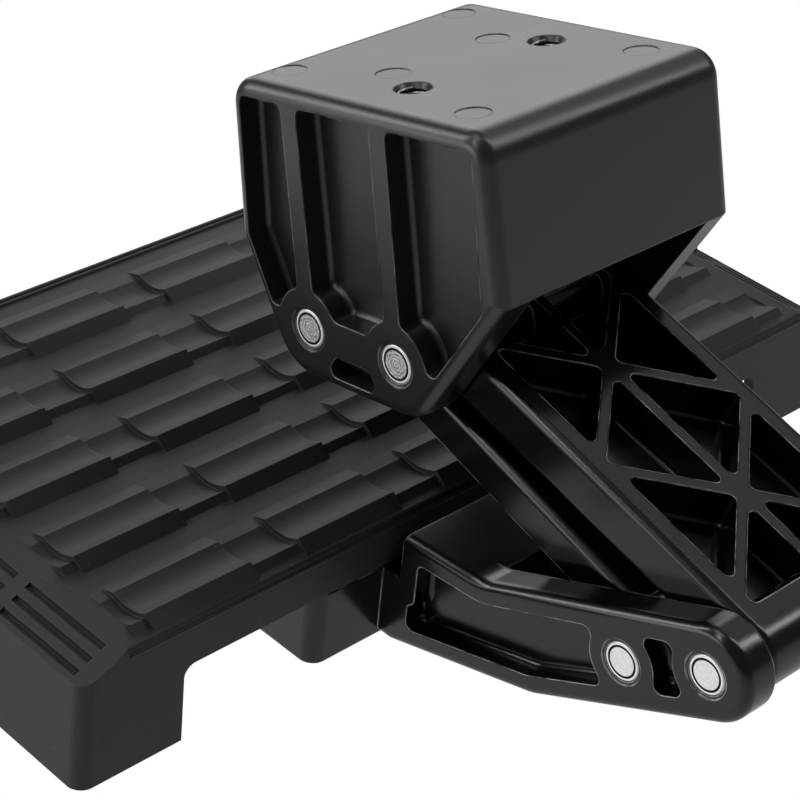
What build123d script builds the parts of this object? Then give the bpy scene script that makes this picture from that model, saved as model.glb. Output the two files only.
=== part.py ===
from build123d import *
import os
from math import acos, atan2, cos, degrees, hypot, radians, sin

os.makedirs("parts", exist_ok=True)

# A folding bumper step in millimetres, in its stowed pose.
# The origin is the middle of the two mounting holes, on the flat top of the mount block.
# X runs along the pivot pins, +Y is the side the step swings out to, +Z is up.
# A point written as two numbers is (Y, Z), or (depth, height) in the tilted frame of the tread pad.

# mount block
BLOCK_WIDTH = 95.0
BLOCK_FRONT = 47.5
BLOCK_BACK = 54.5
WALL_DROP = 48.0
WALL_FLARE = 2.5
WALL = 4.5
TOP_PLATE = 12.0
SIDE_PLATE = 11.5
SIDE_POCKET = 8.0
BLOCK_ROUND = 4.4
POCKET_CORNER = 2.6
POCKET_FLOOR = 1.8
PIN_FACE = 12.4
PIN_BOSS = 16.5
HOLE_SPACING = 53.4
HOLE_R = 4.25
HOLE_RIM_R = 5.7
RIB_WIDTH = 6.2
EJECTOR_R = 5.1
EJECTOR_DEPTH = 0.25

# pivot pins and their bushes
PIN_R = 6.0
PIN_RECESS = 0.4
BUSH_R = 7.5
BUSH_LENGTH = 14.0
FLANGE_R = 10.5
FLANGE = 1.2
RUNNING_FIT = 0.06

# linkage in the stowed pose
UPPER_MAIN = (-6.4, -73.9)
UPPER_IDLER = (29.7, -71.9)
MAIN_LENGTH = 124.9
MAIN_ANGLE = 28.4
STEP_TILT = 13.4
LOWER_MAIN = (-116.2, 18.7)
LOWER_IDLER = (-89.1, 5.2)
SLOT_TRAVEL = (3.9, -1.6)
SLOT_PLAY = 0.6

# main swing arm
ARM_HALF = 34.5
ARM_EYE = 11.5
ARM_BELLY = 5.0
RAIL = 7.0
TRUSS_RIB = 3.4
TRUSS_PITCH = 54.0
TRUSS_START = 36.0
CELL_DEPTH = 12.0
CELL_CORNER = 2.0

# idler arm
IDLER_HALF = 31.0
IDLER_TOP = 3.0
IDLER_BELLY = 10.5
IDLER_SKIN = 4.5

# step bracket
BRACKET_WIDTH = 94.6
BRACKET_PLATE = 11.0
BRACKET_EYE = 14.2
BRACKET_POCKET = 6.5
NECK_TOP = (-6.0, -3.0)
BEND_TOP = (-36.0, -1.0)
BEND_LOW = (-60.0, -26.5)
SADDLE_WIDTH = 148.0
SADDLE_DEPTH = 100.0
SADDLE_TOP = -18.0
SADDLE_WALL = 5.0

# tread pad
PAD_LENGTH = 320.0
PAD_DEPTH = 163.5
PAD_DROP = 43.0
PAD_SKIN = 4.0
STRIP_WIDTH = 15.0
STRIP_FALL = 7.4
NOTCH_HALF = 123.7
NOTCH_TOP = -16.5
ROW_COUNT = 5
ROW_PITCH = 31.6
ROW_HALF = 138.0
FIRST_ROW = 6.0
RISER_SLOPE = 1.3
SCOOP_LENGTH = 13.9
SCOOP_SAG = 1.7
SCOOP_BACK = 6.0
TRENCH = 2.0
TILE_START = -133.5
TILE_PERIOD = 55.0
TILE_LONG = 37.5
LIP_HIGH = 3.5
LIP_LOW = 1.9
CREST_DROP = 1.5
RIM_ROUND = 1.0
BEAD_R = 0.8
BEAD_PITCH = 2.1
STRIP_GROOVE = 2.0
GROOVE_PIECES = 4
RIB = 3.0
RIB_PLACES = (30.0, 90.0, 125.0)
CROSS_RIBS = (55.0, 118.0)

# pad fasteners
SCREW_R = 3.0
SCREW_X = 55.0
SCREW_ROWS = (30.0, 80.0)
INSERT_R = 4.5
INSERT_LENGTH = 9.0


def turned(point, angle):
    """Turn a (Y, Z) pair about X."""
    c, s = cos(radians(angle)), sin(radians(angle))
    return (point[0] * c - point[1] * s, point[0] * s + point[1] * c)


def plus(a, b):
    return (a[0] + b[0], a[1] + b[1])


# pin centres that follow from the linkage
LOWER_MAIN_AT = plus(UPPER_MAIN, turned((-MAIN_LENGTH, 0), MAIN_ANGLE))
PAD_AT = plus(LOWER_MAIN_AT, turned((-LOWER_MAIN[0], -LOWER_MAIN[1]), STEP_TILT))
LOWER_IDLER_AT = plus(PAD_AT, turned(LOWER_IDLER, STEP_TILT))
IDLER_RUN = (UPPER_IDLER[0] - LOWER_IDLER_AT[0], UPPER_IDLER[1] - LOWER_IDLER_AT[1])
IDLER_LENGTH = hypot(IDLER_RUN[0], IDLER_RUN[1])
IDLER_ANGLE = degrees(atan2(IDLER_RUN[1], IDLER_RUN[0]))

PLATE_INNER = BLOCK_WIDTH / 2 - SIDE_PLATE
BRACKET_INNER = BRACKET_WIDTH / 2 - BRACKET_PLATE


def placed(shape, origin, angle):
    """Move a shape from its own flat frame to a pin or pad origin, tilted about X."""
    return Location((0, origin[0], origin[1]), (angle, 0, 0)) * shape


def across(sketch, half):
    """Extrude a (Y, Z) sketch to both sides of the middle plane."""
    return extrude(Plane.YZ * sketch, amount=half, both=True)


def slab(sketch, x0, x1):
    """Extrude a (Y, Z) sketch from x0 to x1."""
    return extrude(Plane.YZ.offset(x0) * sketch, amount=x1 - x0)


def both_sides(solid):
    """A solid and its mirror image on the other side."""
    return solid + mirror(solid, about=Plane.YZ)


def disc(centre, radius):
    return Pos(centre[0], centre[1]) * Circle(radius)


def box_between(a, b):
    """A rectangle between two opposite corners."""
    middle = ((a[0] + b[0]) / 2, (a[1] + b[1]) / 2)
    return Pos(middle[0], middle[1]) * Rectangle(abs(b[0] - a[0]), abs(b[1] - a[1]))


def strip(a, b, width):
    """A straight bar of the given width from a to b."""
    angle = degrees(atan2(b[1] - a[1], b[0] - a[0]))
    middle = ((a[0] + b[0]) / 2, (a[1] + b[1]) / 2)
    return Pos(middle[0], middle[1]) * Rot(0, 0, angle) * Rectangle(hypot(b[0] - a[0], b[1] - a[1]), width)


def softened(sketch, radius):
    """Round every corner of each face of a sketch, outward corners first and inward ones after."""
    soft = Sketch()
    for face in sketch.faces():
        opened = offset(offset(face, amount=-radius), amount=radius)
        soft += offset(offset(opened, amount=radius), amount=-radius)
    return soft


def pocket_tool(sketch, floor_x, top_x, corner, floor_round):
    """The solid that cuts rounded pockets into a plate, from its face down to the floor."""
    tool = slab(softened(sketch, corner), floor_x, top_x)
    floors = tool.faces().group_by(Axis.X)[0]
    return fillet(floors.edges(), floor_round)


def tangent_point(point, centre, radius, side):
    """Where the tangent from a point meets a circle; side is +1 or -1."""
    away = atan2(point[1] - centre[1], point[0] - centre[0])
    turn = side * acos(radius / hypot(point[0] - centre[0], point[1] - centre[1]))
    return (centre[0] + radius * cos(away + turn), centre[1] + radius * sin(away + turn))


def pin_bore(centre, half, radius):
    """A cylinder along X through a (Y, Z) point."""
    return across(disc(centre, radius), half)


def mount_block():
    """The die-cast block: flat top, two smooth walls, two ribbed side plates, open underneath."""
    flare = WALL_FLARE
    walls = Polygon(
        (-BLOCK_FRONT, 0),
        (BLOCK_BACK, 0),
        (BLOCK_BACK + flare, -WALL_DROP),
        (-BLOCK_FRONT - flare, -WALL_DROP),
        align=None,
    )
    hubs = [disc(UPPER_MAIN, PIN_BOSS), disc(UPPER_IDLER, PIN_BOSS)]
    outline = make_hull(walls.edges() + hubs[0].edges() + hubs[1].edges())
    top_corners = outline.vertices().group_by(Axis.Y)[-1]
    outline = fillet(top_corners, 2 * BLOCK_ROUND - 0.5)
    body = across(outline, BLOCK_WIDTH / 2)
    ends = body.faces().filter_by(Axis.X)
    body = fillet(ends.edges(), BLOCK_ROUND)

    inside = Polygon(
        (-BLOCK_FRONT + WALL, -TOP_PLATE),
        (BLOCK_BACK - WALL, -TOP_PLATE),
        (BLOCK_BACK + flare - WALL, -WALL_DROP - 1),
        (-BLOCK_FRONT - flare + WALL, -WALL_DROP - 1),
        align=None,
    )
    below = box_between((-BLOCK_FRONT - 20, -WALL_DROP), (BLOCK_BACK + 20, -WALL_DROP - 80))
    body -= across(inside + below, PLATE_INNER)

    half = BLOCK_WIDTH / 2
    pockets = block_pockets(outline)
    body -= both_sides(pocket_tool(pockets, half - SIDE_POCKET, half + 1, POCKET_CORNER, POCKET_FLOOR))
    for centre in (UPPER_MAIN, UPPER_IDLER):
        body -= pin_bore(centre, BLOCK_WIDTH, PIN_R)
        body -= both_sides(slab(disc(centre, PIN_R + 0.9), BLOCK_WIDTH / 2 - PIN_RECESS, BLOCK_WIDTH / 2 + 1))
    for side in (-1, 1):
        body -= Pos(side * HOLE_SPACING / 2, 0, -TOP_PLATE / 2) * Cylinder(HOLE_R, TOP_PLATE + 2)
        rim = Pos(side * HOLE_SPACING / 2, 0, -(HOLE_RIM_R - HOLE_R) / 2)
        body -= rim * Cone(HOLE_R, HOLE_RIM_R, HOLE_RIM_R - HOLE_R)
        for mark in ((34.0, 43.0), (20.0, 15.0), (33.5, -30.0)):
            body -= Pos(side * mark[0], mark[1], 0) * Cylinder(EJECTOR_R, 2 * EJECTOR_DEPTH)
    return body


def block_pockets(outline):
    """The pockets of one ribbed side plate, as a sketch."""
    edge = 4.2
    field = offset(outline, amount=-edge, kind=Kind.INTERSECTION)
    field &= box_between((-BLOCK_FRONT + 5.0, -5.0), (BLOCK_BACK + 20, -WALL_DROP - 80))
    for centre in (UPPER_MAIN, UPPER_IDLER):
        field -= disc(centre, PIN_FACE)
        field -= box_between((centre[0] - RIB_WIDTH / 2, 0), (centre[0] + RIB_WIDTH / 2, centre[1]))
    field -= strip(UPPER_MAIN, UPPER_IDLER, 11.0)
    return field


def main_arm():
    """The wide swing arm: solid floor, deep truss of ribs on its face, an eye at each end."""
    ends = [disc((0, 0), ARM_EYE), disc((-MAIN_LENGTH, 0), ARM_EYE)]
    outline = make_hull(ends[0].edges() + ends[1].edges())
    outline -= box_between((ARM_EYE, -ARM_BELLY), (-MAIN_LENGTH - ARM_EYE, -2 * ARM_EYE))
    outline += ends
    corners = [v for v in outline.vertices() if abs(v.Y + ARM_BELLY) < 0.1]
    outline = fillet(corners, 3.0)
    body = across(outline, ARM_HALF)
    rails = body.edges().filter_by(Axis.Y).group_by(Axis.Z)[-1]
    body = fillet(rails, 2.8)

    face = Plane.XY.offset(ARM_EYE)
    cells = extrude(face * softened(truss_cells(), CELL_CORNER), amount=-CELL_DEPTH)
    cells = fillet(cells.faces().group_by(Axis.Z)[0].edges(), CELL_CORNER - 0.4)
    for y in (0, -MAIN_LENGTH):
        cells -= pin_bore((y, 0), ARM_HALF, ARM_EYE - 1.2)
    body -= cells
    for y in (0, -MAIN_LENGTH):
        body -= pin_bore((y, 0), ARM_HALF + 1, BUSH_R)
    return placed(body, UPPER_MAIN, MAIN_ANGLE)


def truss_cells():
    """The open cells between the ribs of the main arm, seen from above."""
    half = ARM_HALF - RAIL
    cells = box_between((-half, -5.0), (half, -MAIN_LENGTH + 5.5))
    cells -= strip((0, 0), (0, -MAIN_LENGTH), TRUSS_RIB)
    for step in range(2):
        node = -TRUSS_START - step * TRUSS_PITCH
        cells -= disc((0, node), TRUSS_RIB * 1.1)
        for side in (-1, 1):
            for reach in (-TRUSS_PITCH / 2, TRUSS_PITCH / 2):
                cells -= strip((0, node), (side * (half + RAIL / 2), node + reach), TRUSS_RIB)
    return cells


def idler_arm():
    """The lower link: a channel beam, open underneath, with a hub at the top and a slotted eye."""
    length = IDLER_LENGTH
    slot_end = (-length - SLOT_TRAVEL[0], SLOT_TRAVEL[1])
    eye_a, eye_b = disc((-length, 0), ARM_EYE), disc(slot_end, ARM_EYE)
    hub = disc((0, 0), ARM_EYE)
    eye = make_hull(eye_a.edges() + eye_b.edges())
    beam = box_between((0, IDLER_TOP), (-length, -IDLER_BELLY))
    body = across(beam, IDLER_HALF)
    body = fillet(body.edges().filter_by(Axis.Y).group_by(Axis.Z)[-1], 3.4)
    body += across(hub + eye, ARM_HALF)

    skin = IDLER_TOP - IDLER_SKIN
    trough = box_between((-ARM_EYE - 3, skin), (-length + ARM_EYE + 3, -IDLER_BELLY - 5))
    well = across(trough, IDLER_HALF - 5)
    well -= across(trough, 2.0)
    for third in (1, 2):
        rib_at = -length * third / 3
        well -= across(box_between((rib_at - 2, skin), (rib_at + 2, -IDLER_BELLY - 5)), IDLER_HALF)
    body -= well
    body -= pin_bore((0, 0), ARM_HALF + 1, BUSH_R)
    slot_a, slot_b = disc((-length, 0), PIN_R + SLOT_PLAY), disc(slot_end, PIN_R + SLOT_PLAY)
    body -= across(make_hull(slot_a.edges() + slot_b.edges()), ARM_HALF + 1)
    return placed(body, UPPER_IDLER, IDLER_ANGLE)


def bracket_outline():
    """One side plate of the step bracket in the pad's frame."""
    upper = tangent_point(BEND_TOP, LOWER_MAIN, BRACKET_EYE, 1)
    lower = tangent_point(BEND_LOW, LOWER_MAIN, BRACKET_EYE, -1)
    floor = -PAD_DROP
    plate = Polygon(
        NECK_TOP,
        BEND_TOP,
        upper,
        LOWER_MAIN,
        lower,
        BEND_LOW,
        (-4.0, floor),
        (8.0, floor),
        (8.0, SADDLE_TOP),
        (NECK_TOP[0], SADDLE_TOP),
        align=None,
    )
    plate += disc(LOWER_MAIN, BRACKET_EYE)
    bends = [v for v in plate.vertices() if near(v, BEND_TOP) or near(v, BEND_LOW)]
    return fillet(bends, 20.0)


def near(vertex, point):
    return hypot(vertex.X - point[0], vertex.Y - point[1]) < 0.5


def near_neck(edge):
    """True for the short shelf of a cheek that goes in under the pad."""
    middle = edge @ 0.5
    return middle.Y > NECK_TOP[0] and middle.Z > SADDLE_TOP - 1


def step_bracket():
    """The casting that carries the pad: two pocketed cheeks, a folded web and a saddle."""
    outline = bracket_outline()
    cheek = slab(outline, BRACKET_INNER, BRACKET_WIDTH / 2)
    outer = cheek.faces().sort_by(Axis.X)[-1]
    rim = [e for e in outer.edges() if abs((e % 0.5).Z) < 0.99 and not near_neck(e)]
    cheek = fillet(rim, 3.0)
    field = offset(outline, amount=-6.5, kind=Kind.INTERSECTION)
    field &= box_between((-10.0, 60), (-200, -80))
    for centre in (LOWER_MAIN, LOWER_IDLER):
        field -= disc(centre, PIN_R + 5.4)
    half = BRACKET_WIDTH / 2
    cheek -= pocket_tool(field, half - BRACKET_POCKET, half + 1, POCKET_CORNER, POCKET_FLOOR)
    body = both_sides(cheek)

    t = 4.5
    web = Polygon(
        NECK_TOP,
        BEND_TOP,
        (BEND_LOW[0] - 4, BEND_LOW[1] + 6),
        (BEND_LOW[0], BEND_LOW[1] + 2),
        (BEND_TOP[0] + 2, BEND_TOP[1] - t),
        (NECK_TOP[0] - t, NECK_TOP[1] - t),
        (NECK_TOP[0] - t, -PAD_DROP + 2),
        (NECK_TOP[0], -PAD_DROP + 2),
        align=None,
    )
    body += across(web, BRACKET_INNER + 1)
    spine = Polygon(
        (NECK_TOP[0] - 1, NECK_TOP[1] - 1),
        BEND_TOP,
        (BEND_LOW[0] - 1, BEND_LOW[1] + 4),
        (BEND_LOW[0] + 10, BEND_LOW[1] + 1),
        (NECK_TOP[0] - 1, -PAD_DROP + 4),
        align=None,
    )
    body += across(spine, 2.5)
    body += saddle()
    for centre in (LOWER_MAIN, LOWER_IDLER):
        body -= pin_bore(centre, BRACKET_WIDTH, PIN_R)
        body -= both_sides(slab(disc(centre, PIN_R + 0.9), BRACKET_WIDTH / 2 - PIN_RECESS, BRACKET_WIDTH))
    return placed(body, PAD_AT, STEP_TILT)


def saddle():
    """The hollow seat under the pad, open below, with ribs and screw holes."""
    height = PAD_DROP + SADDLE_TOP
    middle = Pos(0, 1 + SADDLE_DEPTH / 2, SADDLE_TOP - height / 2)
    shell = middle * Box(SADDLE_WIDTH, SADDLE_DEPTH, height)
    shell = fillet(shell.edges().filter_by(Axis.Z), 5.0)
    hollow = middle * Pos(0, 0, -SADDLE_WALL)
    shell -= hollow * Box(SADDLE_WIDTH - 2 * SADDLE_WALL, SADDLE_DEPTH - 2 * SADDLE_WALL, height)
    for x in (-41.8, 41.8):
        shell += Pos(x, 0, 0) * middle * Box(6.0, SADDLE_DEPTH - SADDLE_WALL, height)
    shell += middle * Box(SADDLE_WIDTH - SADDLE_WALL, 5.0, height)
    for place in screw_places():
        shell -= place * Pos(0, 0, SADDLE_TOP - SADDLE_WALL / 2) * Cylinder(SCREW_R + 0.4, SADDLE_WALL + 2)
    return shell


def screw_places():
    """Where the pad is screwed down, in the pad's frame."""
    return [Pos(x, u, 0) for u in SCREW_ROWS for x in (-SCREW_X, 0, SCREW_X)]


def tread_profile(lip):
    """One shingle of the tread in (depth, height): sloped riser, lip, concave scoop, crest and back."""
    foot = -RISER_SLOPE * lip
    crest = (SCOOP_LENGTH, lip - CREST_DROP)
    back = SCOOP_LENGTH + SCOOP_BACK
    hollow = (SCOOP_LENGTH / 2, (lip + crest[1]) / 2 - SCOOP_SAG)
    riser = Polyline((foot, -TRENCH), (foot, 0), (0, lip))
    scoop = ThreePointArc((0, lip), hollow, crest)
    floor = Polyline(crest, (back, 0), (back, -TRENCH), (foot, -TRENCH))
    return make_face(riser + scoop + floor)


def step_pad():
    """The moulded tread pad: shingled top, bevelled end strips, feet, ribs and screw bosses."""
    half = PAD_LENGTH / 2
    section = Polygon(
        (-half, -PAD_DROP),
        (half, -PAD_DROP),
        (half - 1.5, -STRIP_FALL),
        (half - 1.5 - STRIP_WIDTH, 0),
        (-half + 1.5 + STRIP_WIDTH, 0),
        (-half + 1.5, -STRIP_FALL),
        align=None,
    )
    body = extrude(Plane.XZ * section, amount=-PAD_DEPTH)
    corners = [e for e in body.edges() if abs((e @ 0.5).X) > half - 2 and abs((e % 0.5).Z) > 0.9]
    body = fillet(corners, 5.0)
    top_rim = body.edges().filter_by(Axis.X).group_by(Axis.Z)[-1]
    body = fillet(top_rim, RIM_ROUND)

    hollow = offset(section, amount=-PAD_SKIN, kind=Kind.INTERSECTION)
    hollow += box_between((-half + PAD_SKIN + 1.5, -PAD_DROP / 2), (half - PAD_SKIN - 1.5, -PAD_DROP - 1))
    body -= extrude(Plane.XZ.offset(-PAD_SKIN) * hollow, amount=2 * PAD_SKIN - PAD_DEPTH)
    body += pad_ribs()
    notch = box_between((-NOTCH_HALF, NOTCH_TOP), (NOTCH_HALF, -PAD_DROP - 5))
    notch = fillet(notch.vertices().group_by(Axis.Y)[-1], 4.0)
    body -= extrude(Plane.XZ.offset(5) * notch, amount=-PAD_SKIN - 10)
    body -= tread_trenches()
    body += treads()
    body += rim_beads()
    for place in screw_places():
        body -= place * Pos(0, 0, SADDLE_TOP + INSERT_LENGTH / 2) * Cylinder(INSERT_R, INSERT_LENGTH)
    piece = (PAD_DEPTH - 8) / GROOVE_PIECES
    for groove in range(3):
        part_way = (groove + 0.6) / 3.4
        x = half - 1.5 - STRIP_WIDTH * part_way
        z = -STRIP_FALL * (1 - part_way)
        for k in range(GROOVE_PIECES):
            cut = Box(STRIP_GROOVE, piece - 5, STRIP_GROOVE)
            body -= both_sides(Pos(x, 4 + piece * (k + 0.5), z) * cut)
    return placed(body, PAD_AT, STEP_TILT)


def pad_ribs():
    """The stiffening grid under the tread and the bosses that stand on the saddle."""
    tall = -SADDLE_TOP - PAD_SKIN + 1
    middle = Pos(0, 0, SADDLE_TOP + tall / 2)
    inner = PAD_DEPTH - 2 * PAD_SKIN + 2
    ribs = Part()
    for x in RIB_PLACES:
        ribs += both_sides(middle * Pos(x, PAD_DEPTH / 2, 0) * Box(RIB, inner, tall))
    for u in CROSS_RIBS:
        ribs += middle * Pos(0, u, 0) * Box(PAD_LENGTH - 14, RIB, tall)
    for place in screw_places():
        ribs += middle * place * Cylinder(INSERT_R + 3.5, tall)
    return ribs


def treads():
    """Rows of shingles, each row with long tall tiles and short low tiles by turns."""
    rows = Part()
    for row in range(ROW_COUNT):
        place = Pos(0, FIRST_ROW + row * ROW_PITCH, 0)
        edge = -ROW_HALF
        for tile in range(ROW_COUNT):
            start = TILE_START + tile * TILE_PERIOD
            rows += place * slab(tread_profile(LIP_LOW), edge, start)
            edge = start + TILE_LONG
            rows += place * slab(tread_profile(LIP_HIGH), start, edge)
        rows += place * slab(tread_profile(LIP_LOW), edge, ROW_HALF)
    return rows


def tread_trenches():
    """The shallow troughs in the pad's top that the shingles stand in."""
    troughs = Part()
    length = RISER_SLOPE * LIP_LOW + SCOOP_LENGTH + SCOOP_BACK
    for row in range(ROW_COUNT):
        start = FIRST_ROW + row * ROW_PITCH - RISER_SLOPE * LIP_LOW
        troughs += Pos(0, start + length / 2, 0) * Box(2 * ROW_HALF, length, 2 * TRENCH)
    return troughs


def rim_beads():
    """Half-round beads along the top's back edge and under its front edge."""
    length = PAD_LENGTH - 2 * STRIP_WIDTH - 4
    bead = Rot(0, 90, 0) * Cylinder(BEAD_R, length)
    beads = Pos(0, 0, -RIM_ROUND - 2 * BEAD_R) * bead
    for step in (1, 2):
        beads += Pos(0, PAD_DEPTH - step * BEAD_PITCH, 0) * bead
    return beads


def pivot_pin(centre, half):
    """A turned pin with a ring groove in each end."""
    pin = Rot(0, 90, 0) * Cylinder(PIN_R, 2 * half)
    pin = chamfer(pin.edges().filter_by(GeomType.CIRCLE), 0.5)
    ring = Circle(4.9) - Circle(4.3)
    pin -= both_sides(slab(ring, half - 0.7, half + 1))
    return Pos(0, centre[0], centre[1]) * pin


def flanged_bush(centre, side):
    """A plastic bush pressed into an arm's eye, with its flange against the cheek."""
    start = ARM_HALF - BUSH_LENGTH
    bush = slab(Circle(BUSH_R), start, ARM_HALF) + slab(Circle(FLANGE_R), ARM_HALF, ARM_HALF + FLANGE)
    bush -= slab(Circle(PIN_R + RUNNING_FIT), start - 1, ARM_HALF + FLANGE + 1)
    if side < 0:
        bush = mirror(bush, about=Plane.YZ)
    return Pos(0, centre[0], centre[1]) * bush


def thrust_washer(centre, side):
    """A plain washer on the open pivot, against the bracket cheek."""
    ring = slab(Circle(FLANGE_R) - Circle(PIN_R + RUNNING_FIT), BRACKET_INNER - FLANGE, BRACKET_INNER)
    if side < 0:
        ring = mirror(ring, about=Plane.YZ)
    return Pos(0, centre[0], centre[1]) * ring


def pad_hardware():
    """Screws, washers and threaded inserts that hold the pad on the saddle."""
    under = SADDLE_TOP - SADDLE_WALL
    screws, washers, inserts = [], [], []
    for place in screw_places():
        washers.append(place * Pos(0, 0, under - 0.7) * (Cylinder(6.5, 1.4) - Cylinder(SCREW_R + 0.2, 2)))
        head = extrude(Plane.XY.offset(under - 1.4) * RegularPolygon(5.7, 6), amount=-4.0)
        tip = SADDLE_TOP + INSERT_LENGTH - 1
        shank = extrude(Plane.XY.offset(under - 1.4) * Circle(SCREW_R), amount=tip - under + 1.4)
        screws.append(place * (head + shank))
        sleeve = Cylinder(INSERT_R, INSERT_LENGTH) - Cylinder(SCREW_R, INSERT_LENGTH + 1)
        inserts.append(place * Pos(0, 0, SADDLE_TOP + INSERT_LENGTH / 2) * sleeve)
    return {
        "pad_screws": placed(Compound(screws), PAD_AT, STEP_TILT),
        "pad_washers": placed(Compound(washers), PAD_AT, STEP_TILT),
        "pad_inserts": placed(Compound(inserts), PAD_AT, STEP_TILT),
    }


def build():
    block_pin = BLOCK_WIDTH / 2 - PIN_RECESS
    bracket_pin = BRACKET_WIDTH / 2 - PIN_RECESS
    nodes = {
        "mount_block": mount_block(),
        "main_arm": main_arm(),
        "idler_arm": idler_arm(),
        "step_bracket": step_bracket(),
        "step_pad": step_pad(),
        "pin_upper_main": pivot_pin(UPPER_MAIN, block_pin),
        "pin_upper_idler": pivot_pin(UPPER_IDLER, block_pin),
        "pin_lower_main": pivot_pin(LOWER_MAIN_AT, bracket_pin),
        "pin_lower_idler": pivot_pin(LOWER_IDLER_AT, bracket_pin),
    }
    for name, side in (("left", -1), ("right", 1)):
        nodes["bush_main_upper_" + name] = flanged_bush(UPPER_MAIN, side)
        nodes["bush_main_lower_" + name] = flanged_bush(LOWER_MAIN_AT, side)
        nodes["bush_idler_upper_" + name] = flanged_bush(UPPER_IDLER, side)
        nodes["washer_idler_lower_" + name] = thrust_washer(LOWER_IDLER_AT, side)
    nodes.update(pad_hardware())
    return nodes


for name, solid in build().items():
    export_step(solid, "parts/" + name + ".step")
    print(name, round(solid.volume))
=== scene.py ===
"""The folding bumper step: finishes, fine detail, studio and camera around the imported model."""

import logging
import math
from dataclasses import dataclass, field
from enum import Enum
from typing import Optional

import bpy
from mathutils import Matrix, Vector


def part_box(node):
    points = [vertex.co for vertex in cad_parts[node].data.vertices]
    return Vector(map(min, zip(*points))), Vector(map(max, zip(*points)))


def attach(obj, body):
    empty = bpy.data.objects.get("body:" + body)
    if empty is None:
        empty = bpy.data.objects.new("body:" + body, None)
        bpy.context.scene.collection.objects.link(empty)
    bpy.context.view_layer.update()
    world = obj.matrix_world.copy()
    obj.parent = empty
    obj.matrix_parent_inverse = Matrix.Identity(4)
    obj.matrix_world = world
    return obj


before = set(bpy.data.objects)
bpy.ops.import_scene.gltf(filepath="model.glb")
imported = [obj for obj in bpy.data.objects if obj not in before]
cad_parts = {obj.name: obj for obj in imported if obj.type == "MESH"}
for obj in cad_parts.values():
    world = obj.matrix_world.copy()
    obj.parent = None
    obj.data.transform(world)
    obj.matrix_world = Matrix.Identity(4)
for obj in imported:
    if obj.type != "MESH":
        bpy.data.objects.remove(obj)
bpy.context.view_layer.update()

log = logging.getLogger("bumper_step")
MM = 0.001


class Grain(Enum):
    """The surface textures that the finishes share."""

    PAINT = "paint_grain"
    MOULD = "mould_grain"


@dataclass(frozen=True)
class Socket:
    """One named input or output of a node group.

    Args:
        name: the socket's label.
        kind: Blender's socket type.
        value: default for an input, or None for an output.
    """

    name: str
    kind: str
    value: Optional[float] = None


def new_group(name: str, inputs: list[Socket], outputs: list[Socket]) -> bpy.types.NodeTree:
    """Make an empty shader node group with its sockets.

    Args:
        name: the group's name.
        inputs: input sockets in order.
        outputs: output sockets in order.

    Returns:
        The node tree, with its Group Input and Group Output nodes.
    """
    tree = bpy.data.node_groups.new(name, "ShaderNodeTree")
    for item in inputs:
        made = tree.interface.new_socket(item.name, in_out="INPUT", socket_type=item.kind)
        if item.value is not None:
            made.default_value = item.value
    for item in outputs:
        tree.interface.new_socket(item.name, in_out="OUTPUT", socket_type=item.kind)
    tree.nodes.new("NodeGroupInput")
    tree.nodes.new("NodeGroupOutput")
    return tree


@dataclass
class GrainGroups:
    """Builds the shared shader groups once and hands them out."""

    made: dict[Grain, bpy.types.NodeTree] = field(default_factory=dict)

    def get(self, grain: Grain) -> bpy.types.NodeTree:
        """Return the group for a grain, building it the first time.

        Args:
            grain: which texture.

        Returns:
            The shader node group.
        """
        if grain not in self.made:
            self.made[grain] = self.build(grain)
        return self.made[grain]

    def build(self, grain: Grain) -> bpy.types.NodeTree:
        """Build one grain group: a fine height, a slow mottling and sparse bright specks.

        Args:
            grain: which texture.

        Returns:
            The new shader node group.
        """
        float_kind = "NodeSocketFloat"
        tree = new_group(
            grain.value,
            [
                Socket("Vector", "NodeSocketVector"),
                Socket("Grain Scale", float_kind, 900.0),
                Socket("Mottle Scale", float_kind, 30.0),
                Socket("Speck Scale", float_kind, 160.0),
            ],
            [Socket("Height", float_kind), Socket("Mottle", float_kind), Socket("Specks", float_kind)],
        )
        nodes, links = tree.nodes, tree.links
        entry, leave = nodes["Group Input"], nodes["Group Output"]

        fine = nodes.new("ShaderNodeTexNoise")
        fine.inputs["Detail"].default_value = 2.0 if grain is Grain.PAINT else 4.0
        fine.inputs["Roughness"].default_value = 0.5 if grain is Grain.PAINT else 0.65
        slow = nodes.new("ShaderNodeTexNoise")
        slow.inputs["Detail"].default_value = 3.0
        speck = nodes.new("ShaderNodeTexVoronoi")
        speck.inputs["Randomness"].default_value = 1.0
        near = nodes.new("ShaderNodeMapRange")
        near.inputs["From Min"].default_value = 0.10
        near.inputs["From Max"].default_value = 0.05
        for node, scale in ((fine, "Grain Scale"), (slow, "Mottle Scale"), (speck, "Speck Scale")):
            links.new(entry.outputs["Vector"], node.inputs["Vector"])
            links.new(entry.outputs[scale], node.inputs["Scale"])
        links.new(fine.outputs["Fac"], leave.inputs["Height"])
        links.new(slow.outputs["Fac"], leave.inputs["Mottle"])
        links.new(speck.outputs["Distance"], near.inputs["Value"])
        links.new(near.outputs["Result"], leave.inputs["Specks"])
        return tree


GROUPS = GrainGroups()


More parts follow.
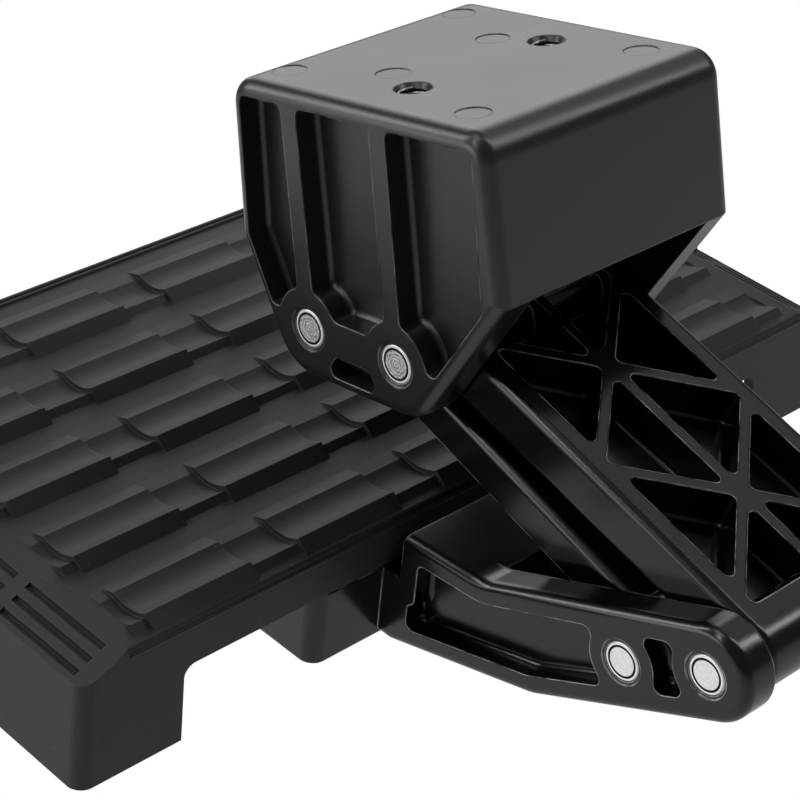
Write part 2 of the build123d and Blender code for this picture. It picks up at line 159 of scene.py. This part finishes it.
def edge_group() -> bpy.types.NodeTree:
    """Return the shared group that paints a highlight along edges, building it the first time.

    Returns:
        A group with inputs Radius, Strength and Vector, and one output, the strength of the painted edge
        highlight.
    """
    name = "painted_edge_highlight"
    if name in bpy.data.node_groups:
        return bpy.data.node_groups[name]
    float_kind = "NodeSocketFloat"
    tree = new_group(
        name,
        [
            Socket("Vector", "NodeSocketVector"),
            Socket("Radius", float_kind, 0.0005),
            Socket("Strength", float_kind, 0.5),
        ],
        [Socket("Painted Highlight", float_kind)],
    )
    nodes, links = tree.nodes, tree.links
    entry, leave = nodes["Group Input"], nodes["Group Output"]
    soft = nodes.new("ShaderNodeBevel")
    soft.samples = 6
    true = nodes.new("ShaderNodeNewGeometry")
    along = nodes.new("ShaderNodeVectorMath")
    along.operation = "DOT_PRODUCT"
    # Painted highlight: where the bevel normal turns away from the true normal, at convex and concave edges,
    # in broken patches.
    bent = nodes.new("ShaderNodeMapRange")
    bent.inputs["From Min"].default_value = 0.99
    bent.inputs["From Max"].default_value = 0.88
    broken = nodes.new("ShaderNodeTexNoise")
    broken.inputs["Scale"].default_value = 160.0
    broken.inputs["Detail"].default_value = 3.0
    patches = nodes.new("ShaderNodeMapRange")
    patches.inputs["From Min"].default_value = 0.38
    patches.inputs["From Max"].default_value = 0.58
    both = nodes.new("ShaderNodeMath")
    both.operation = "MULTIPLY"
    scaled = nodes.new("ShaderNodeMath")
    scaled.operation = "MULTIPLY"
    links.new(entry.outputs["Radius"], soft.inputs["Radius"])
    links.new(soft.outputs["Normal"], along.inputs[0])
    links.new(true.outputs["Normal"], along.inputs[1])
    links.new(along.outputs["Value"], bent.inputs["Value"])
    links.new(entry.outputs["Vector"], broken.inputs["Vector"])
    links.new(broken.outputs["Fac"], patches.inputs["Value"])
    links.new(bent.outputs["Result"], both.inputs[0])
    links.new(patches.outputs["Result"], both.inputs[1])
    links.new(both.outputs[0], scaled.inputs[0])
    links.new(entry.outputs["Strength"], scaled.inputs[1])
    links.new(scaled.outputs[0], leave.inputs["Painted Highlight"])
    return tree


@dataclass(frozen=True)
class Finish:
    """A grained finish: coated casting or moulded plastic.

    Args:
        name: material name.
        grain: which shared texture it uses.
        dark: base colour in the mottling's hollows.
        light: base colour on its tops.
        rough: lowest and highest roughness.
        grain_scale: bumps per metre.
        bump: height of the grain in metres.
        edge: radius in metres of the softened edge highlight.
        specks: how far specks lighten the colour.
        specular: strength of the surface reflection.
        painted_highlight: how far the painted highlight lightens edges.
    """

    name: str
    grain: Grain
    dark: float
    light: float
    rough: tuple[float, float]
    grain_scale: float
    bump: float
    edge: float = 0.0006
    specks: float = 0.0
    specular: float = 0.5
    painted_highlight: float = 0.0

    def material(self) -> bpy.types.Material:
        """Build the material.

        Returns:
            A node material that reads Object coordinates.
        """
        mat = bpy.data.materials.new(self.name)
        mat.use_nodes = True
        nodes, links = mat.node_tree.nodes, mat.node_tree.links
        shader = nodes["Principled BSDF"]
        shader.inputs["Specular IOR Level"].default_value = self.specular

        place = nodes.new("ShaderNodeTexCoord")
        grain = nodes.new("ShaderNodeGroup")
        grain.node_tree = GROUPS.get(self.grain)
        grain.inputs["Grain Scale"].default_value = self.grain_scale
        links.new(place.outputs["Object"], grain.inputs["Vector"])

        colour = nodes.new("ShaderNodeMix")
        colour.data_type = "RGBA"
        colour.inputs["A"].default_value = (self.dark, self.dark, self.dark * 1.03, 1.0)
        colour.inputs["B"].default_value = (self.light, self.light, self.light * 1.03, 1.0)
        links.new(grain.outputs["Mottle"], colour.inputs["Factor"])
        dusty = nodes.new("ShaderNodeMix")
        dusty.data_type = "RGBA"
        dusty.inputs["B"].default_value = (0.25, 0.25, 0.24, 1.0)
        amount = nodes.new("ShaderNodeMath")
        amount.operation = "MULTIPLY"
        amount.inputs[1].default_value = self.specks
        links.new(grain.outputs["Specks"], amount.inputs[0])
        links.new(amount.outputs[0], dusty.inputs["Factor"])
        links.new(colour.outputs["Result"], dusty.inputs["A"])
        # Painted highlight: a pale grey is mixed into the colour along edges, standing in for rounded edges
        # reflecting the lights.
        edges = nodes.new("ShaderNodeGroup")
        edges.node_tree = edge_group()
        edges.inputs["Strength"].default_value = self.painted_highlight
        links.new(place.outputs["Object"], edges.inputs["Vector"])
        painted_edges = nodes.new("ShaderNodeMix")
        painted_edges.data_type = "RGBA"
        painted_edges.inputs["B"].default_value = (0.60, 0.60, 0.60, 1.0)
        links.new(edges.outputs["Painted Highlight"], painted_edges.inputs["Factor"])
        links.new(dusty.outputs["Result"], painted_edges.inputs["A"])
        links.new(painted_edges.outputs["Result"], shader.inputs["Base Color"])

        rough = nodes.new("ShaderNodeMapRange")
        rough.inputs["To Min"].default_value = self.rough[0]
        rough.inputs["To Max"].default_value = self.rough[1]
        links.new(grain.outputs["Mottle"], rough.inputs["Value"])
        links.new(rough.outputs["Result"], shader.inputs["Roughness"])

        soft = nodes.new("ShaderNodeBevel")
        soft.samples = 6
        soft.inputs["Radius"].default_value = self.edge
        bump = nodes.new("ShaderNodeBump")
        bump.inputs["Strength"].default_value = 1.0
        bump.inputs["Distance"].default_value = self.bump
        links.new(grain.outputs["Height"], bump.inputs["Height"])
        links.new(soft.outputs["Normal"], bump.inputs["Normal"])
        links.new(bump.outputs["Normal"], shader.inputs["Normal"])
        return mat


@dataclass(frozen=True)
class TurnedZinc:
    """Bright zinc on a turned pin along X: a bright rim, a ring groove darkened with painted shade and a
    duller middle.

    Args:
        name: material name.
        centre: a point on the axis, in metres.
        dull: how far the middle of the end face darkens.
        marks: depth of the turning marks in metres.
        rings: turning marks per metre of radius.
        groove: middle radius of the ring groove.
        groove_half: half the width of the groove.
    """

    name: str
    centre: tuple[float, float, float]
    dull: float = 0.15
    marks: float = 0.00001
    rings: float = 300.0
    groove: float = 4.6 * MM
    groove_half: float = 0.36 * MM

    def material(self) -> bpy.types.Material:
        """Build the material.

        Returns:
            A metal whose rings are centred on the pin.
        """
        mat = bpy.data.materials.new(self.name)
        mat.use_nodes = True
        nodes, links = mat.node_tree.nodes, mat.node_tree.links
        shader = nodes["Principled BSDF"]
        shader.inputs["Metallic"].default_value = 0.6

        place = nodes.new("ShaderNodeTexCoord")
        centred = nodes.new("ShaderNodeMapping")
        centred.inputs["Location"].default_value = tuple(-c for c in self.centre)
        links.new(place.outputs["Object"], centred.inputs["Vector"])
        flat = nodes.new("ShaderNodeVectorMath")
        flat.operation = "MULTIPLY"
        flat.inputs[1].default_value = (0.0, 1.0, 1.0)
        links.new(centred.outputs["Vector"], flat.inputs[0])
        radius = nodes.new("ShaderNodeVectorMath")
        radius.operation = "LENGTH"
        links.new(flat.outputs["Vector"], radius.inputs[0])
        rings = nodes.new("ShaderNodeTexWave")
        rings.wave_type = "RINGS"
        rings.rings_direction = "X"
        rings.inputs["Scale"].default_value = self.rings
        rings.inputs["Distortion"].default_value = 6.0
        rings.inputs["Detail"].default_value = 3.0
        rings.inputs["Detail Scale"].default_value = 3.0
        links.new(centred.outputs["Vector"], rings.inputs["Vector"])
        cloud = nodes.new("ShaderNodeTexNoise")
        cloud.inputs["Scale"].default_value = 900.0
        cloud.inputs["Detail"].default_value = 5.0
        links.new(place.outputs["Object"], cloud.inputs["Vector"])

        bright = nodes.new("ShaderNodeMix")
        bright.data_type = "RGBA"
        bright.inputs["A"].default_value = (0.62, 0.65, 0.65, 1.0)
        bright.inputs["B"].default_value = (0.95, 0.96, 0.95, 1.0)
        links.new(cloud.outputs["Fac"], bright.inputs["Factor"])
        inside = nodes.new("ShaderNodeMath")
        inside.operation = "LESS_THAN"
        inside.inputs[1].default_value = self.groove
        links.new(radius.outputs["Value"], inside.inputs[0])
        marked = nodes.new("ShaderNodeMapRange")
        marked.inputs["To Min"].default_value = self.dull
        marked.inputs["To Max"].default_value = self.dull * 0.25
        links.new(rings.outputs["Fac"], marked.inputs["Value"])
        amount = nodes.new("ShaderNodeMath")
        amount.operation = "MULTIPLY"
        links.new(inside.outputs[0], amount.inputs[0])
        links.new(marked.outputs["Result"], amount.inputs[1])
        middle = nodes.new("ShaderNodeMix")
        middle.data_type = "RGBA"
        middle.inputs["B"].default_value = (0.05, 0.06, 0.06, 1.0)
        links.new(amount.outputs[0], middle.inputs["Factor"])
        links.new(bright.outputs["Result"], middle.inputs["A"])
        # Painted shade: the ring groove is coloured near black, standing in for the shade inside the recess.
        groove_shade_mask = nodes.new("ShaderNodeMath")
        groove_shade_mask.operation = "COMPARE"
        groove_shade_mask.inputs[1].default_value = self.groove
        groove_shade_mask.inputs[2].default_value = self.groove_half
        links.new(radius.outputs["Value"], groove_shade_mask.inputs[0])
        groove_shaded = nodes.new("ShaderNodeMix")
        groove_shaded.data_type = "RGBA"
        groove_shaded.inputs["B"].default_value = (0.015, 0.016, 0.016, 1.0)
        links.new(groove_shade_mask.outputs[0], groove_shaded.inputs["Factor"])
        links.new(middle.outputs["Result"], groove_shaded.inputs["A"])
        links.new(groove_shaded.outputs["Result"], shader.inputs["Base Color"])

        rough = nodes.new("ShaderNodeMapRange")
        rough.inputs["To Min"].default_value = 0.38
        rough.inputs["To Max"].default_value = 0.60
        links.new(cloud.outputs["Fac"], rough.inputs["Value"])
        links.new(rough.outputs["Result"], shader.inputs["Roughness"])
        bump = nodes.new("ShaderNodeBump")
        bump.inputs["Strength"].default_value = 0.8
        bump.inputs["Distance"].default_value = self.marks
        links.new(rings.outputs["Fac"], bump.inputs["Height"])
        links.new(bump.outputs["Normal"], shader.inputs["Normal"])
        return mat


@dataclass(frozen=True)
class PlainMetal:
    """A plated or bare metal for small hardware.

    Args:
        name: material name.
        colour: base colour.
        rough: middle of its roughness.
    """

    name: str
    colour: tuple[float, float, float]
    rough: float

    def material(self) -> bpy.types.Material:
        """Build the material.

        Returns:
            A metal with a slightly uneven gloss.
        """
        mat = bpy.data.materials.new(self.name)
        mat.use_nodes = True
        nodes, links = mat.node_tree.nodes, mat.node_tree.links
        shader = nodes["Principled BSDF"]
        shader.inputs["Metallic"].default_value = 1.0
        shader.inputs["Base Color"].default_value = (*self.colour, 1.0)
        place = nodes.new("ShaderNodeTexCoord")
        grain = nodes.new("ShaderNodeGroup")
        grain.node_tree = GROUPS.get(Grain.PAINT)
        links.new(place.outputs["Object"], grain.inputs["Vector"])
        rough = nodes.new("ShaderNodeMapRange")
        rough.inputs["To Min"].default_value = self.rough - 0.1
        rough.inputs["To Max"].default_value = self.rough + 0.1
        links.new(grain.outputs["Mottle"], rough.inputs["Value"])
        links.new(rough.outputs["Result"], shader.inputs["Roughness"])
        return mat


BLOCK_COAT = Finish(
    "block_satin_coat", Grain.PAINT, 0.0060, 0.0080, (0.28, 0.36), 1300.0, 0.00001, edge=0.0009, painted_highlight=0.35
)
ARM_COAT = Finish(
    "arm_gloss_coat",
    Grain.PAINT,
    0.0016,
    0.0024,
    (0.15, 0.25),
    260.0,
    0.000002,
    edge=0.0010,
    specular=0.38,
    painted_highlight=0.9,
)
PAD_PLASTIC = Finish(
    "pad_plastic",
    Grain.MOULD,
    0.0125,
    0.0155,
    (0.50, 0.60),
    1300.0,
    0.00008,
    edge=0.0004,
    specks=0.05,
    specular=0.28,
    painted_highlight=0.05,
)
BUSH_PLASTIC = Finish("bush_plastic", Grain.MOULD, 0.01, 0.015, (0.45, 0.6), 1800.0, 0.00002)


def dress(node: str, mat: bpy.types.Material) -> None:
    """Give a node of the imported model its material.

    Args:
        node: the node's name.
        mat: the material for all of it.
    """
    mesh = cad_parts[node].data
    mesh.materials.clear()
    mesh.materials.append(mat)
    log.info("dressed %s in %s", node, mat.name)


@dataclass
class HoleThreads:
    """The turns of thread inside the two tapped holes, as one spiral wire put in each hole.

    Args:
        spacing: distance between the holes in metres.
        radius: radius of the spiral's centre line.
        pitch: rise of one turn.
        top: height of the uppermost turn.
        low: height of the lowest turn.
        wire: half the width of a crest.
    """

    spacing: float = 53.4 * MM
    radius: float = 4.2 * MM
    pitch: float = 1.5 * MM
    top: float = -1.3 * MM
    low: float = -11.6 * MM
    wire: float = 0.45 * MM

    def tree(self) -> bpy.types.NodeTree:
        """Build the geometry nodes that wind the thread and put it in both holes.

        Returns:
            The geometry node group.
        """
        group = bpy.data.node_groups.new("hole_threads", "GeometryNodeTree")
        float_kind = "NodeSocketFloat"
        sockets = (("Turns", float_kind), ("Radius", float_kind), ("Height", float_kind), ("Wire", float_kind))
        for name, kind in sockets + (("First Hole", "NodeSocketVector"), ("Next Hole", "NodeSocketVector")):
            group.interface.new_socket(name, in_out="INPUT", socket_type=kind)
        group.interface.new_socket("Finish", in_out="INPUT", socket_type="NodeSocketMaterial")
        group.interface.new_socket("Geometry", in_out="OUTPUT", socket_type="NodeSocketGeometry")
        nodes, links = group.nodes, group.links
        entry, leave = nodes.new("NodeGroupInput"), nodes.new("NodeGroupOutput")
        spiral = nodes.new("GeometryNodeCurveSpiral")
        spiral.inputs["Resolution"].default_value = 48
        links.new(entry.outputs["Turns"], spiral.inputs["Rotations"])
        links.new(entry.outputs["Radius"], spiral.inputs["Start Radius"])
        links.new(entry.outputs["Radius"], spiral.inputs["End Radius"])
        links.new(entry.outputs["Height"], spiral.inputs["Height"])
        crest = nodes.new("GeometryNodeCurvePrimitiveCircle")
        crest.inputs["Resolution"].default_value = 6
        links.new(entry.outputs["Wire"], crest.inputs["Radius"])
        wound = nodes.new("GeometryNodeCurveToMesh")
        wound.inputs["Fill Caps"].default_value = True
        links.new(spiral.outputs["Curve"], wound.inputs["Curve"])
        links.new(crest.outputs["Curve"], wound.inputs["Profile Curve"])
        holes = nodes.new("GeometryNodeMeshLine")
        holes.inputs["Count"].default_value = 2
        links.new(entry.outputs["First Hole"], holes.inputs["Start Location"])
        links.new(entry.outputs["Next Hole"], holes.inputs["Offset"])
        put = nodes.new("GeometryNodeInstanceOnPoints")
        links.new(holes.outputs["Mesh"], put.inputs["Points"])
        links.new(wound.outputs["Mesh"], put.inputs["Instance"])
        real = nodes.new("GeometryNodeRealizeInstances")
        links.new(put.outputs["Instances"], real.inputs["Geometry"])
        finish = nodes.new("GeometryNodeSetMaterial")
        links.new(real.outputs["Geometry"], finish.inputs["Geometry"])
        links.new(entry.outputs["Finish"], finish.inputs["Material"])
        links.new(finish.outputs["Geometry"], leave.inputs["Geometry"])
        return group

    def build(self, finish: bpy.types.Material) -> bpy.types.Object:
        """Make the threads as one mesh that rides with the block.

        Args:
            finish: the bare metal of a thread that is cut after coating.

        Returns:
            The finished object.
        """
        group = self.tree()
        height = self.top - self.low
        values = {
            "Turns": height / self.pitch,
            "Radius": self.radius,
            "Height": height,
            "Wire": self.wire,
            "First Hole": (-self.spacing / 2, 0.0, self.low),
            "Next Hole": (self.spacing, 0.0, 0.0),
            "Finish": finish,
        }
        threads = bpy.data.objects.new("hole_threads", bpy.data.meshes.new("hole_threads"))
        bpy.context.scene.collection.objects.link(threads)
        winding = threads.modifiers.new("winding", "NODES")
        winding.node_group = group
        for item in group.interface.items_tree:
            if item.name in values:
                winding[item.identifier] = values[item.name]
        bpy.context.view_layer.update()
        graph = bpy.context.evaluated_depsgraph_get()
        threads.data = bpy.data.meshes.new_from_object(threads.evaluated_get(graph))
        threads.modifiers.remove(winding)
        threads.data.shade_smooth()
        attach(threads, "block")
        log.info("wound threads with %d faces", len(threads.data.polygons))
        return threads


@dataclass
class MountBlock:
    """The die-cast block with its tapped holes and the two upper pins."""

    pins: tuple[str, ...] = ("pin_upper_main", "pin_upper_idler")

    def dress(self) -> None:
        """Coat the block, thread its holes and finish its pins."""
        coat = BLOCK_COAT.material()
        dress("mount_block", coat)
        HoleThreads().build(PlainMetal("thread_metal", (0.30, 0.30, 0.31), 0.32).material())
        for pin in self.pins:
            dress_pin(pin, 0.78)


def dress_pin(node: str, dull: float) -> None:
    """Give a pin turned ends centred on its own axis.

    Args:
        node: the pin's node.
        dull: how far the middle of its ends darkens.
    """
    low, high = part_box(node)
    middle = (low + high) / 2
    dress(node, TurnedZinc(node + "_zinc", tuple(middle), dull).material())


@dataclass
class Arms:
    """The main arm and the idler arm with their bushes."""

    arms: tuple[str, ...] = ("main_arm", "idler_arm")

    def dress(self) -> None:
        """Coat the arms and finish every bush."""
        coat = ARM_COAT.material()
        for arm in self.arms:
            dress(arm, coat)
        plastic = BUSH_PLASTIC.material()
        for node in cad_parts:
            if node.startswith(("bush_", "washer_")):
                dress(node, plastic)


@dataclass
class Step:
    """The bracket, the tread pad and what holds them together."""

    pins: tuple[str, ...] = ("pin_lower_main", "pin_lower_idler")

    def dress(self) -> None:
        """Coat the bracket, grain the pad and finish the fasteners."""
        dress("step_bracket", ARM_COAT.material())
        dress("step_pad", PAD_PLASTIC.material())
        for pin in self.pins:
            dress_pin(pin, 0.12)
        plated = PlainMetal("fastener_zinc", (0.66, 0.68, 0.68), 0.34).material()
        for node in ("pad_screws", "pad_washers"):
            dress(node, plated)
        dress("pad_inserts", PlainMetal("turned_brass", (0.74, 0.53, 0.26), 0.30).material())


@dataclass
class PhotoCamera:
    """The camera fitted to the photograph.

    Args:
        place: position in metres.
        azimuth: degrees round Z, 0 looking along +Y.
        elevation: degrees above the horizon.
        roll: degrees about the line of sight.
        lens: focal length for a 36 mm sensor.
    """

    place: tuple[float, float, float] = (-0.46902, -0.47924, 0.19734)
    azimuth: float = -41.77
    elevation: float = 24.0
    roll: float = -4.77
    lens: float = 111.06

    def build(self) -> bpy.types.Object:
        """Make the camera and look through it.

        Returns:
            The camera object.
        """
        a, e, r = (math.radians(v) for v in (self.azimuth, self.elevation, self.roll))
        back = Vector((math.sin(a) * math.cos(e), -math.cos(a) * math.cos(e), math.sin(e)))
        level = Vector((math.cos(a), math.sin(a), 0.0))
        upright = back.cross(level)
        right = math.cos(r) * level + math.sin(r) * upright
        up = -math.sin(r) * level + math.cos(r) * upright
        data = bpy.data.cameras.new("photo_camera")
        data.lens = self.lens
        data.sensor_width = 36.0
        data.clip_start = 0.01
        camera = bpy.data.objects.new("photo_camera", data)
        turn = Matrix((right, up, back)).transposed().to_4x4()
        camera.matrix_world = Matrix.Translation(Vector(self.place)) @ turn
        bpy.context.scene.collection.objects.link(camera)
        bpy.context.scene.camera = camera
        return camera


@dataclass
class SoftBox:
    """One soft studio light that points at the object.

    Args:
        name: light's name.
        place: position in metres.
        size: width and height in metres.
        power: watts.
        aim: point it faces.
    """

    name: str
    place: tuple[float, float, float]
    size: tuple[float, float]
    power: float
    aim: tuple[float, float, float] = (0.0, 0.0, -0.08)

    def build(self) -> None:
        """Make the light."""
        data = bpy.data.lights.new(self.name, "AREA")
        data.shape = "RECTANGLE"
        data.size, data.size_y = self.size
        data.energy = self.power
        lamp = bpy.data.objects.new(self.name, data)
        lamp.location = self.place
        toward = Vector(self.aim) - Vector(self.place)
        lamp.rotation_euler = toward.to_track_quat("-Z", "Y").to_euler()
        bpy.context.scene.collection.objects.link(lamp)


def seen_or_lit(tree: bpy.types.NodeTree, seen: bpy.types.Node, lit: bpy.types.Node) -> bpy.types.Node:
    """Join two shaders: one that the camera sees and one that lights the object.

    Args:
        tree: the node tree both are in.
        seen: shader for camera rays.
        lit: shader for every other ray.

    Returns:
        The mix node.
    """
    path = tree.nodes.new("ShaderNodeLightPath")
    mix = tree.nodes.new("ShaderNodeMixShader")
    tree.links.new(path.outputs["Is Camera Ray"], mix.inputs[0])
    tree.links.new(lit.outputs[0], mix.inputs[1])
    tree.links.new(seen.outputs[0], mix.inputs[2])
    return mix


@dataclass
class Studio:
    """White floor, white surroundings that light only dimly, and soft boxes."""

    floor_size: float = 12.0
    floor_height: float = -0.33
    sky: float = 0.17
    paper: float = 0.70
    glow: float = 0.18
    lights: tuple[SoftBox, ...] = (
        SoftBox("back_box", (0.90, 1.12, 0.74), (1.4, 0.9), 8.0),
        SoftBox("left_strip", (-0.80, 1.10, 0.90), (0.12, 1.2), 9.0),
        SoftBox("front_strip", (0.90, -0.70, 1.05), (0.10, 1.1), 6.0),
        SoftBox("right_box", (0.85, -0.05, 1.02), (0.7, 0.7), 0.9),
        SoftBox("low_box", (-1.20, 0.62, 0.12), (0.9, 0.5), 5.5),
        SoftBox("rail_strip", (-0.98, 0.08, 0.98), (0.10, 0.9), 4.5),
        SoftBox("top_box", (-0.2, 0.1, 1.4), (0.6, 0.6), 3.5),
    )

    def floor(self) -> bpy.types.Object:
        """Make the sheet of paper below the lowest reach of the step, clear when seen from underneath.

        Returns:
            The floor object.
        """
        low = self.floor_height
        half = self.floor_size / 2
        mesh = bpy.data.meshes.new("floor")
        corners = [(-half, -half, low), (half, -half, low), (half, half, low), (-half, half, low)]
        mesh.from_pydata(corners, [], [(0, 1, 2, 3)])
        floor = bpy.data.objects.new("floor", mesh)
        paper = bpy.data.materials.new("white_paper")
        paper.use_nodes = True
        tree = paper.node_tree
        white = tree.nodes.new("ShaderNodeEmission")
        white.inputs["Color"].default_value = (1.0, 1.0, 1.0, 1.0)
        matt = tree.nodes.new("ShaderNodeBsdfDiffuse")
        matt.inputs["Color"].default_value = (self.paper, self.paper, self.paper, 1.0)
        glow = tree.nodes.new("ShaderNodeEmission")
        glow.inputs["Strength"].default_value = self.glow
        lit = tree.nodes.new("ShaderNodeAddShader")
        tree.links.new(matt.outputs[0], lit.inputs[0])
        tree.links.new(glow.outputs[0], lit.inputs[1])
        mix = seen_or_lit(tree, white, lit)
        side = tree.nodes.new("ShaderNodeNewGeometry")
        clear = tree.nodes.new("ShaderNodeBsdfTransparent")
        faced = tree.nodes.new("ShaderNodeMixShader")
        tree.links.new(side.outputs["Backfacing"], faced.inputs[0])
        tree.links.new(mix.outputs[0], faced.inputs[1])
        tree.links.new(clear.outputs[0], faced.inputs[2])
        tree.links.new(faced.outputs[0], tree.nodes["Material Output"].inputs["Surface"])
        mesh.materials.append(paper)
        bpy.context.scene.collection.objects.link(floor)
        return floor

    def sky_dome(self) -> bpy.types.World:
        """Make the surroundings.

        Returns:
            The world.
        """
        world = bpy.data.worlds.new("studio")
        world.use_nodes = True
        tree = world.node_tree
        dim = tree.nodes["Background"]
        dim.inputs["Color"].default_value = (1.0, 1.0, 1.0, 1.0)
        dim.inputs["Strength"].default_value = self.sky
        white = tree.nodes.new("ShaderNodeBackground")
        white.inputs["Color"].default_value = (1.0, 1.0, 1.0, 1.0)
        mix = seen_or_lit(tree, white, dim)
        tree.links.new(mix.outputs[0], tree.nodes["World Output"].inputs["Surface"])
        return world

    def build(self) -> None:
        """Make the floor, the sky and the lights."""
        self.floor()
        bpy.context.scene.world = self.sky_dome()
        for light in self.lights:
            light.build()
        bpy.context.scene.view_settings.view_transform = "Standard"


def main() -> None:
    """Dress the step, light it and set the camera."""
    logging.basicConfig(level=logging.INFO)
    for part in (MountBlock(), Arms(), Step()):
        part.dress()
    Studio().build()
    PhotoCamera().build()


if __name__ == "__main__":
    main()
